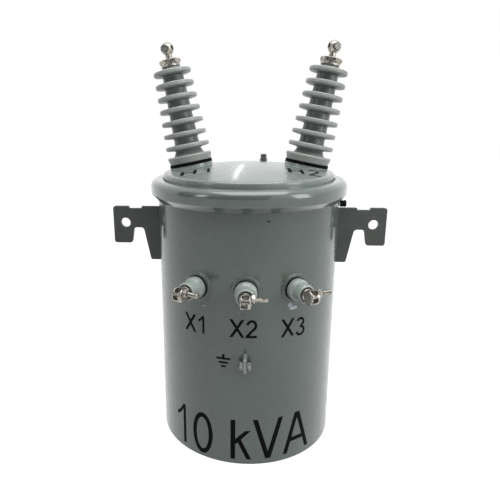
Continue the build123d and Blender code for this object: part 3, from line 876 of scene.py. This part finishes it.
def add_ground_bolt():
    """The earth screw through its lug, with its head to the right and its nut to the left."""
    low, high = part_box("ground_bolt")
    plate_low, plate_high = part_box("ground_lug")
    middle = Vector((0, (low.y + high.y) / 2, (low.z + high.z) / 2))
    across_flats, washer_radius = 13.6 * mm, 7.6 * mm
    under_head, under_nut = plate_high.x + 1.2 * mm, plate_low.x - 1.2 * mm
    bm = bmesh.new()
    washer(bm, middle, x_axis, m8_hole, washer_radius, plate_high.x, under_head)
    hex_solid(bm, middle, x_axis, across_flats, under_head, high.x)
    washer(bm, middle, x_axis, m8_hole, washer_radius, under_nut, plate_low.x)
    hex_solid(bm, middle, x_axis, across_flats, plate_low.x - 7.0 * mm, under_nut)
    threaded_rod(bm, middle, x_axis, m8_radius, m8_pitch, low.x, plate_high.x + 2 * mm)
    piece = new_piece("ground_screw", bm, earth_metal)
    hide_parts("ground_bolt")


def add_band_bolt():
    """The draw bolt of the clamp band, with its head to the left and its nut to the right."""
    low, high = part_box("band_bolt")
    left_low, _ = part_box("band_ear_left")
    _, right_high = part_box("band_ear_right")
    middle = Vector((0, (low.y + high.y) / 2, (low.z + high.z) / 2))
    across_flats, washer_radius = 16.6 * mm, 9.8 * mm
    under_head, under_nut = left_low.x - 1.5 * mm, right_high.x + 1.5 * mm
    bm = bmesh.new()
    washer(bm, middle, x_axis, m10_hole, washer_radius, under_head, left_low.x)
    hex_solid(bm, middle, x_axis, across_flats, low.x, under_head)
    washer(bm, middle, x_axis, m10_hole, washer_radius, right_high.x, under_nut)
    hex_solid(bm, middle, x_axis, across_flats, under_nut, right_high.x + 8.5 * mm)
    threaded_rod(bm, middle, x_axis, m10_radius, m10_pitch, left_low.x - 1 * mm, high.x)
    piece = new_piece("band_screw", bm, zinc)
    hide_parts("band_bolt")


def ribbed(least, count, depth):
    """A reach for lathe that cuts finger ribs into whatever is wider than a least radius."""

    def reach(angle, size, along):
        if size < least:
            return size
        return size - depth * (0.5 + 0.5 * math.cos(count * angle))

    return reach


def add_relief_cap():
    """The black knob of the relief valve, with finger ribs and a groove for its pull ring."""
    low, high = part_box("relief_cap")
    middle = (low + high) / 2
    radius = (high.z - low.z) / 2
    length = high.x - low.x
    # Shares of the radius and the length
    shape = [(0, 0), (0.82, 0), (0.93, 0.05), (1, 0.14), (1, 0.42), (0.86, 0.47), (0.86, 0.56)]
    shape += [(1, 0.61), (1, 0.86), (0.9, 0.97), (0.6, 1), (0, 1)]
    profile = [(r * radius, a * length) for r, a in shape]
    foot = (low.x, middle.y, middle.z)
    bm = bmesh.new()
    ribs = ribbed(radius * 0.8, 18, 0.5 * mm)
    lathe(bm, foot, x_axis, profile, knob_segments, None, ribs)
    piece = new_piece("relief_knob", bm, plastic, knob_smooth)
    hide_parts("relief_cap")


def add_vent_plug():
    """The plug behind the crown: a ribbed cap over a hexagon collar."""
    low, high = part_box("vent_plug")
    middle = (low + high) / 2
    height = high.z - low.z
    radius = (high.x - low.x) / 2 * 0.93
    # Shares of the radius and the height
    shape = [(0, 0.3), (0.8, 0.3), (0.86, 0.46), (0.86, 0.6), (0.8, 0.64), (0.86, 0.68)]
    shape += [(0.86, 0.9), (0.76, 0.98), (0.4, 1), (0, 1)]
    profile = [(r * radius, a * height) for r, a in shape]
    foot = (middle.x, middle.y, low.z)
    bm = bmesh.new()
    hex_solid(bm, foot, z_axis, (high.y - low.y) * 0.98, 0.0, height * 0.42)
    ribs = ribbed(radius * 0.7, 14, 0.45 * mm)
    lathe(bm, foot, z_axis, profile, plug_segments, None, ribs)
    piece = new_piece("breather_plug", bm, dull_steel, knob_smooth)
    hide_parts("vent_plug")


# Welds

# Radii of the weld runs
lug_weld, bracket_weld, boss_weld = 2.6 * mm, 2.8 * mm, 2.2 * mm
earth_weld, valve_weld, seam_weld = 1.9 * mm, 1.5 * mm, 2.7 * mm
weld_inset = 1.5 * mm
between = 0.7  # both parts of a direction half way between a plate's face and the wall


def weld_piece(name, bm):
    new_piece(name, bm, tank_paint, weld_smooth)


def upright_points(x, y, low, high, normal, step=1.2 * mm):
    count = int((high - low) / step)
    heights = [low + (high - low) * k / count for k in range(count + 1)]
    return [(Vector((x, y, z)), Vector(normal)) for z in heights]


def add_lug_welds():
    for name, side in sides:
        low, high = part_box(f"lifting_lug_{name}")
        bm = bmesh.new()
        for face in (low.y, high.y):
            way = math.copysign(1.0, face)
            x = side * (math.sqrt(tank_radius**2 - face**2) + 0.2 * mm)
            y = face + way * 0.6 * mm
            normal = (side * between, way * between, 0)
            points = upright_points(x, y, low.z + weld_inset, high.z - weld_inset, normal)
            weld_bead(bm, points, lug_weld, seed=3 + face)
        weld_piece(f"lug_weld_{name}", bm)


def add_bracket_welds():
    for name in ("lower", "upper"):
        low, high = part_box(f"hanger_bracket_{name}")
        bm = bmesh.new()
        for face in (low.x, high.x):
            way = math.copysign(1.0, face)
            x = face + way * 0.5 * mm
            y = math.sqrt(tank_radius**2 - face**2)
            normal = (way * between, between, 0)
            points = upright_points(x, y, low.z + weld_inset, high.z - weld_inset, normal)
            weld_bead(bm, points, bracket_weld, seed=5 + face)
        weld_piece(f"bracket_weld_{name}", bm)


def circle_on_wall(centre_angle, height, radius, lift, count):
    """Points round a circle drawn on the tank, each with the wall's outward direction."""
    points = []
    for angle in turns(count):
        u = centre_angle * tank_radius / mm + radius / mm * math.cos(angle)
        point = on_wall(u, height / mm + radius / mm * math.sin(angle), lift)
        points.append((point, Vector((point.x, point.y, 0)).normalized()))
    return points


def add_boss_welds():
    """The soft painted ring where each bushing's boss meets the wall."""
    for name in front_bushings:
        low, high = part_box(f"lv_boss_{name}")
        eye = mounts[f"cable_hole_{name}"]["pos_m"]
        angle = math.atan2(eye[0], -eye[1])
        height, radius = (low.z + high.z) / 2, (high.z - low.z) / 2
        points = circle_on_wall(angle, height, radius, 0.0, boss_weld_steps)
        bm = bmesh.new()
        weld_bead(bm, points, boss_weld, seed=angle, closed=True)
        weld_piece(f"boss_weld_{name}", bm)


def add_small_welds():
    """The welds of the earth lug and of the relief valve."""
    low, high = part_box("ground_lug")
    bm = bmesh.new()
    for face in (low.x, high.x):
        way = math.copysign(1.0, face)
        x, y = face + way * 0.4 * mm, -tank_radius - 0.2 * mm
        normal = (way * between, -between, 0)
        points = upright_points(x, y, low.z + 1 * mm, high.z - 1 * mm, normal)
        weld_bead(bm, points, earth_weld, seed=8 + face)
    weld_piece("ground_weld", bm)

    low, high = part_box("relief_valve")
    middle = (low + high) / 2
    radius, lift = (high.z - low.z) / 2 + 0.3 * mm, 0.2 * mm
    points = circle_on_wall(math.pi / 2, middle.z, radius, lift, valve_weld_steps)
    bm = bmesh.new()
    weld_bead(bm, points, valve_weld, seed=9, closed=True)
    weld_piece("relief_weld", bm)


def add_wall_seam():
    """The dressed seam of the rolled wall, down the back quarter."""
    seam_angle, depth = math.radians(148), 1.5 * mm
    band_low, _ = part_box("clamp_band")
    x, y = tank_radius * math.sin(seam_angle), -tank_radius * math.cos(seam_angle)
    points = upright_points(x, y, 2 * mm, band_low.z - 2 * mm, (x, y, 0), 1.6 * mm)
    sunk = []
    for point, normal in points:
        outward = normal.normalized()
        sunk.append((point - outward * depth, outward))
    bm = bmesh.new()
    weld_bead(bm, sunk, seam_weld, seed=12)
    weld_piece("wall_seam", bm)


def add_spots():
    """The touched-up drip under the right bushing, whose white is partly a painted highlight, a
    fleck under the left one and a speck.
    """
    # Name, distance round the wall, height, width and depth in mm, and material
    spots = (
        ("paint_drip", 81.0, 322.0, 10.0, 9.0, chip_painted_highlight),
        ("paint_drip_tail", 88.0, 315.0, 19.0, 7.5, chip_painted_highlight),
        ("paint_fleck", -77.0, 317.5, 4.0, 3.0, zinc),
        ("dirt_speck", 37.0, 475.7, 6.0, 2.6, ink),
    )
    shares = (1.0, 0.9, 0.62, 0.28, 0.02)
    for name, u, v, width, height, finish in spots:
        bm = bmesh.new()
        rings = []
        for row, share in enumerate(shares):
            lift = (-0.1 + 0.45 * math.sin(row / 4 * math.pi / 2)) * mm
            ring = []
            for k, angle in enumerate(turns(spot_segments)):
                uneven = 0.8 + 0.35 * wobble(k // 3, u)
                across = width / 2 * share * uneven * math.cos(angle)
                upward = height / 2 * share * uneven * math.sin(angle)
                ring.append(on_wall(u + across, v + upward, lift))
            rings.append(ring)
        skin(bm, rings)
        new_piece(name, bm, finish, spot_smooth)


# Stage

matt = 0.9
flag_grey = (0.08, 0.085, 0.08)
floor_grey = (0.34, 0.345, 0.345)
floor_glow = 0.82
floor_reach = 6.0
soft_sky, soft_strength = (0.93, 0.97, 1.0), 0.55
white = (1, 1, 1)


def rectangle(name, w, h):
    """A flat mesh that reaches w and h to either side of its middle."""
    mesh = bpy.data.meshes.new(name)
    mesh.from_pydata([(-w, -h, 0), (w, -h, 0), (w, h, 0), (-w, h, 0)], [], [(0, 1, 2, 3)])
    return mesh


def facing(place, look_at, axis):
    return (Vector(look_at) - Vector(place)).to_track_quat(axis, "Y").to_euler()


def card(name, place, look_at, width, height, colour, strength=None):
    """A flat studio card: a dark flag, or a light when it has a strength."""
    mesh = rectangle(name, width / 2, height / 2)
    material = bpy.data.materials.new(name)
    material.use_nodes = True
    tree = material.node_tree
    shader = tree.nodes["Principled BSDF"]
    if strength is None:
        shader.inputs["Base Color"].default_value = (*colour, 1)
        shader.inputs["Roughness"].default_value = matt
    else:
        tree.nodes.remove(shader)
        glow = tree.nodes.new("ShaderNodeEmission")
        glow.inputs["Color"].default_value = (*colour, 1)
        glow.inputs["Strength"].default_value = strength
        tree.links.new(glow.outputs[0], tree.nodes["Material Output"].inputs["Surface"])
    mesh.materials.append(material)
    made = new_object(name, mesh)
    made.location = place
    made.rotation_euler = facing(place, look_at, "Z")
    made.visible_camera = False
    made.visible_shadow = False


def lamp(name, place, look_at, width, height, watts):
    data = bpy.data.lights.new(name, "AREA")
    data.shape = "RECTANGLE"
    data.size, data.size_y = width, height
    data.energy = watts
    made = new_object(name, data)
    made.location = place
    made.rotation_euler = facing(place, look_at, "-Z")
    made.visible_camera = False


def seen_or_mirrored(tree):
    """1 for what the camera sees straight, in a mirror or through glass, and 0 for lighting."""
    path = tree.nodes.new("ShaderNodeLightPath")
    factor = path.outputs["Is Camera Ray"]
    for other in ("Is Glossy Ray", "Is Transmission Ray"):
        either = tree.nodes.new("ShaderNodeMath")
        either.operation = "MAXIMUM"
        tree.links.new(factor, either.inputs[0])
        tree.links.new(path.outputs[other], either.inputs[1])
        factor = either.outputs[0]
    return factor


def add_world():
    """White where it is seen or mirrored, and a softer sky for the lighting."""
    world = bpy.data.worlds.new("studio")
    bpy.context.scene.world = world
    world.use_nodes = True
    tree = world.node_tree
    soft = tree.nodes["Background"]
    soft.inputs["Color"].default_value = (*soft_sky, 1)
    soft.inputs["Strength"].default_value = soft_strength
    seen = tree.nodes.new("ShaderNodeBackground")
    seen.inputs["Color"].default_value = (*white, 1)
    mix = tree.nodes.new("ShaderNodeMixShader")
    tree.links.new(seen_or_mirrored(tree), mix.inputs["Fac"])
    tree.links.new(soft.outputs[0], mix.inputs[1])
    tree.links.new(seen.outputs[0], mix.inputs[2])
    tree.links.new(mix.outputs[0], tree.nodes["World Output"].inputs["Surface"])


def add_floor():
    """A grey floor that takes the shadow, lifted to white where it is seen or mirrored."""
    mesh = rectangle("floor", floor_reach, floor_reach)
    material = bpy.data.materials.new("floor")
    material.use_nodes = True
    tree = material.node_tree
    ground = tree.nodes["Principled BSDF"]
    ground.inputs["Base Color"].default_value = (*floor_grey, 1)
    ground.inputs["Roughness"].default_value = matt
    glow = tree.nodes.new("ShaderNodeEmission")
    glow.inputs["Color"].default_value = (*white, 1)
    lift = tree.nodes.new("ShaderNodeMath")
    lift.operation = "MULTIPLY"
    lift.inputs[1].default_value = floor_glow
    tree.links.new(seen_or_mirrored(tree), lift.inputs[0])
    tree.links.new(lift.outputs[0], glow.inputs["Strength"])
    both = tree.nodes.new("ShaderNodeAddShader")
    tree.links.new(ground.outputs[0], both.inputs[0])
    tree.links.new(glow.outputs[0], both.inputs[1])
    tree.links.new(both.outputs[0], tree.nodes["Material Output"].inputs["Surface"])
    mesh.materials.append(material)
    floor = new_object("floor", mesh)
    floor.location.z = wall_low.z - 0.2 * mm


def add_stage():
    # Each card or lamp: name, place, what it faces, width, height, colour or watts
    middle = (0, 0, 0.35)
    add_world()
    add_floor()
    card("dark_flag", (-0.5, -3.0, 1.5), middle, 4.2, 3.6, flag_grey)
    card("dark_flag_left", (-3.0, -1.6, 1.5), middle, 3.0, 3.6, flag_grey)
    lamp("overhead", (0.1, -0.4, 2.3), (0, 0, 0.4), 1.8, 1.6, 32)
    lamp("front_left", (-1.9, -1.5, 1.3), middle, 0.5, 1.4, 7)
    lamp("front_right", (1.9, -1.1, 1.1), middle, 0.7, 1.4, 13)
    card("ceiling_tube", (-0.15, 4.2, 1.75), (-0.15, 4.2, 0.0), 0.055, 4.2, white, strength=4.5)


# Everything in turn

add_camera()
for node, material in (
    ("tank_wall", tank_paint),
    ("tank_bottom", tank_paint),
    ("tank_rim", tank_paint),
    ("cover", cover_paint_painted_light),
    ("clamp_band", band_paint),
    ("band_ear_left", band_paint),
    ("band_ear_right", band_paint),
    ("hanger_bracket_lower", tank_paint),
    ("hanger_bracket_upper", tank_paint),
    ("lifting_lug_left", lug_paint),
    ("lifting_lug_right", lug_paint),
    ("ground_lug", plate_paint_worn_and_painted_highlight),
    ("cover_gasket", rubber),
    ("relief_valve", zinc),
    ("core_and_oil", dull_steel),
):
    finish_node(node, material)
for bushing in front_bushings:
    finish_node(f"lv_boss_{bushing}", tank_paint)
    finish_node(f"lv_porcelain_{bushing}", white_porcelain)
for bushing in top_bushings:
    finish_node(f"hv_gasket_{bushing}", rubber)
    finish_node(f"hv_porcelain_{bushing}", grey_porcelain[bushing])

add_terminal_marks()
add_rating()
add_cover_marks()
add_castings()
add_front_seals_painted_shade()
add_front_bolts()
add_top_bolts()
add_ground_bolt()
add_band_bolt()
add_relief_cap()
add_vent_plug()
add_lug_welds()
add_bracket_welds()
add_boss_welds()
add_small_welds()
add_wall_seam()
add_spots()
add_stage()

bpy.context.scene.view_settings.view_transform = "Standard"
